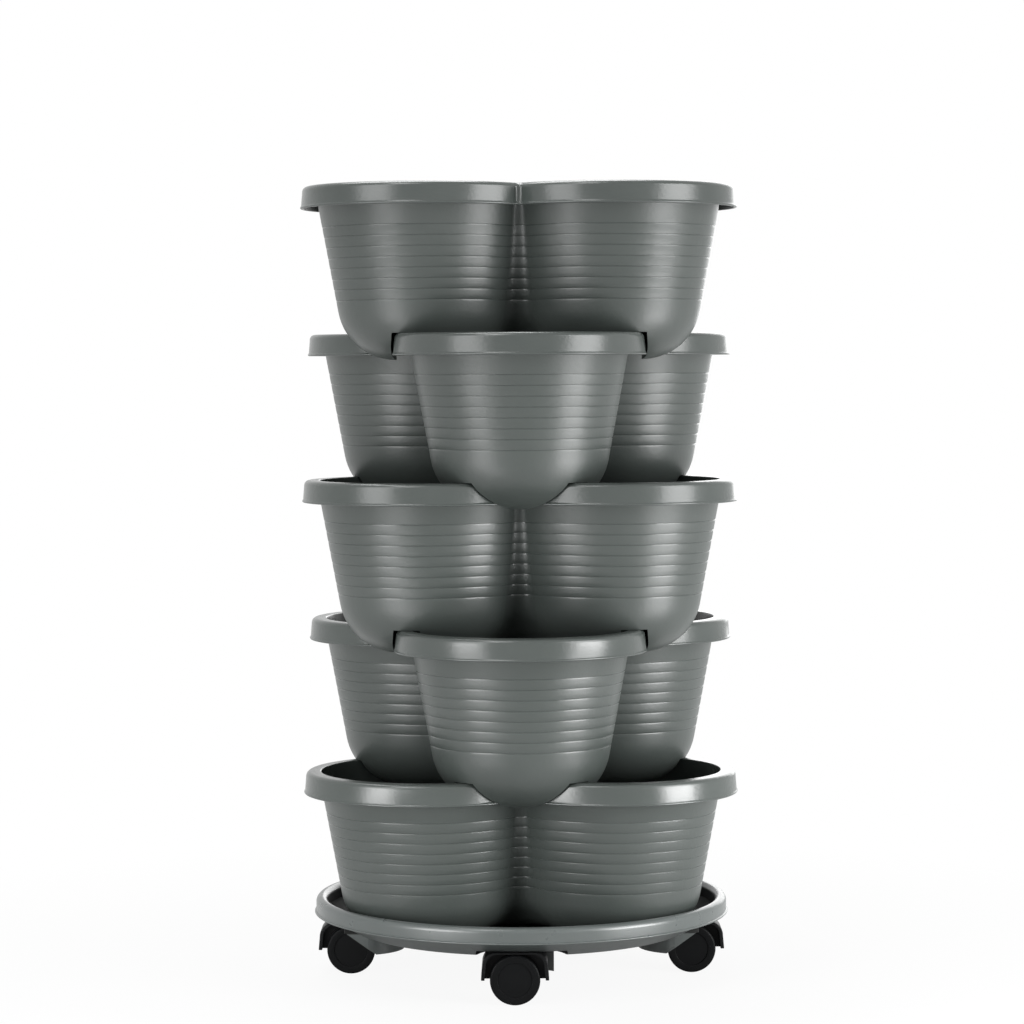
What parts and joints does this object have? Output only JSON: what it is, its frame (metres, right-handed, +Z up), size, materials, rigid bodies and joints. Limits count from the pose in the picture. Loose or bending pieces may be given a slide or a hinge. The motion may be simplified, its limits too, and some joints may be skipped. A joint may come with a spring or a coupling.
{
  "type": "vertical planter tower",
  "caption": "Tower of stacked three-lobed plant pots, each turned half a lobe to the one below, on a round drip tray with twin-wheel swivel casters.",
  "frame": {"origin": "on the floor, under the tower's vertical axis", "axes": "+Z up along the tower's axis, -Y towards the front of the picture, +X to the right"},
  "size_m": [0.4264, 0.455, 0.7818],
  "materials": {
    "pot_plastic": "satin moulded slate-grey plastic",
    "tray_plastic": "satin moulded slate-grey plastic",
    "caster_plastic": "black moulded nylon",
    "wheel_plastic": "black moulded wheel",
    "steel": "plain turned steel"
  },
  "bodies": {
    "tray": {"tray": "tray_plastic", "caster_front_stem": "steel", "caster_right_stem": "steel", "caster_back_stem": "steel", "caster_left_stem": "steel"},
    "pot_tier_1": {"pot_tier_1": "pot_plastic"},
    "pot_tier_2": {"pot_tier_2": "pot_plastic"},
    "pot_tier_3": {"pot_tier_3": "pot_plastic"},
    "pot_tier_4": {"pot_tier_4": "pot_plastic"},
    "pot_tier_5": {"pot_tier_5": "pot_plastic"},
    "caster_front_body": {"caster_front_body": "caster_plastic"},
    "caster_front_wheels": {"caster_front_axle": "steel", "caster_front_fore_wheel": "wheel_plastic", "caster_front_rear_wheel": "wheel_plastic"},
    "caster_right_body": {"caster_right_body": "caster_plastic"},
    "caster_right_wheels": {"caster_right_axle": "steel", "caster_right_fore_wheel": "wheel_plastic", "caster_right_rear_wheel": "wheel_plastic"},
    "caster_back_body": {"caster_back_body": "caster_plastic"},
    "caster_back_wheels": {"caster_back_axle": "steel", "caster_back_fore_wheel": "wheel_plastic", "caster_back_rear_wheel": "wheel_plastic"},
    "caster_left_body": {"caster_left_body": "caster_plastic"},
    "caster_left_wheels": {"caster_left_axle": "steel", "caster_left_fore_wheel": "wheel_plastic", "caster_left_rear_wheel": "wheel_plastic"}
  },
  "joints": [
    {"name": "pot_tier_1_lift", "type": "slide", "parent": "tray", "child": "pot_tier_1", "axis": [0, 0, 1], "range_m": [0, 0.18]},
    {"name": "pot_tier_2_lift", "type": "slide", "parent": "pot_tier_1", "child": "pot_tier_2", "axis": [0, 0, 1], "range_m": [0, 0.18]},
    {"name": "pot_tier_3_lift", "type": "slide", "parent": "pot_tier_2", "child": "pot_tier_3", "axis": [0, 0, 1], "range_m": [0, 0.18]},
    {"name": "pot_tier_4_lift", "type": "slide", "parent": "pot_tier_3", "child": "pot_tier_4", "axis": [0, 0, 1], "range_m": [0, 0.18]},
    {"name": "pot_tier_5_lift", "type": "slide", "parent": "pot_tier_4", "child": "pot_tier_5", "axis": [0, 0, 1], "range_m": [0, 0.18]},
    {"name": "caster_front_swivel", "type": "hinge", "parent": "tray", "child": "caster_front_body", "pos_m": [0, -0.16376, 0.04], "axis": [0, 0, 1], "continuous": true},
    {"name": "caster_front_roll", "type": "hinge", "parent": "caster_front_body", "child": "caster_front_wheels", "pos_m": [-0.0065, -0.16376, 0.024], "axis": [0, 1, 0], "continuous": true},
    {"name": "caster_right_swivel", "type": "hinge", "parent": "tray", "child": "caster_right_body", "pos_m": [0.16376, 0, 0.04], "axis": [0, 0, 1], "continuous": true},
    {"name": "caster_right_roll", "type": "hinge", "parent": "caster_right_body", "child": "caster_right_wheels", "pos_m": [0.17026, 0, 0.024], "axis": [0, 1, 0], "continuous": true},
    {"name": "caster_back_swivel", "type": "hinge", "parent": "tray", "child": "caster_back_body", "pos_m": [0, 0.16376, 0.04], "axis": [0, 0, 1], "continuous": true},
    {"name": "caster_back_roll", "type": "hinge", "parent": "caster_back_body", "child": "caster_back_wheels", "pos_m": [0.0065, 0.16376, 0.024], "axis": [0, 1, 0], "continuous": true},
    {"name": "caster_left_swivel", "type": "hinge", "parent": "tray", "child": "caster_left_body", "pos_m": [-0.16376, 0, 0.04], "axis": [0, 0, 1], "continuous": true},
    {"name": "caster_left_roll", "type": "hinge", "parent": "caster_left_body", "child": "caster_left_wheels", "pos_m": [-0.17026, 0, 0.024], "axis": [0, 1, 0], "continuous": true}
  ]
}
